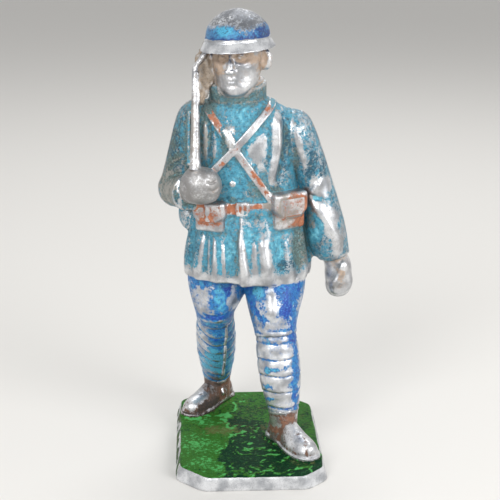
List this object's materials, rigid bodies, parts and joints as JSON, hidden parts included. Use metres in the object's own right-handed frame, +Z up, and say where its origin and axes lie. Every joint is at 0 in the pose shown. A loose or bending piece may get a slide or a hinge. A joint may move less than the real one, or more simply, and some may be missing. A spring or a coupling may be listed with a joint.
{
  "type": "toy soldier figure",
  "caption": "Cast metal toy soldier marching with a rifle at the shoulder, in greatcoat, puttees and brimmed helmet, on a base plate with cut corners.",
  "frame": {"origin": "centre of the base plate's underside", "axes": "+Z up, -Y the way the figure marches, +X its left side"},
  "size_m": [0.0251, 0.0276, 0.0574],
  "materials": {
    "base_green": "satin",
    "coat_blue": "satin",
    "breeches_blue": "satin",
    "helmet_blue": "satin",
    "leather_brown": "satin",
    "boot_brown": "satin",
    "flesh": "satin",
    "bare_metal": "satin"
  },
  "bodies": {
    "root": {"arm_web": "bare_metal", "bag": "leather_brown", "bag_flap": "leather_brown", "base_plate": "base_green", "belt": "leather_brown", "belt_buckle": "bare_metal", "coat_body": "coat_blue", "coat_buttons": "bare_metal", "coat_collar": "coat_blue", "coat_skirt_left": "coat_blue", "coat_skirt_right": "coat_blue", "ears": "flesh", "head": "flesh", "helmet_brim": "helmet_blue", "helmet_crest": "helmet_blue", "helmet_dome": "helmet_blue", "left_boot": "boot_brown", "left_breeches": "breeches_blue", "left_hand": "flesh", "left_puttee": "coat_blue", "left_sleeve": "coat_blue", "left_sole": "boot_brown", "neck": "flesh", "pouch": "leather_brown", "pouch_flap": "leather_brown", "rifle_bands": "bare_metal", "rifle_barrel": "bare_metal", "rifle_sling": "leather_brown", "rifle_stock": "bare_metal", "rifle_web": "bare_metal", "right_boot": "boot_brown", "right_breeches": "breeches_blue", "right_hand": "flesh", "right_puttee": "coat_blue", "right_sleeve": "coat_blue", "right_sole": "boot_brown", "strap_to_bag": "leather_brown", "strap_to_bottle": "leather_brown", "water_bottle": "leather_brown"}
  },
  "joints": []
}
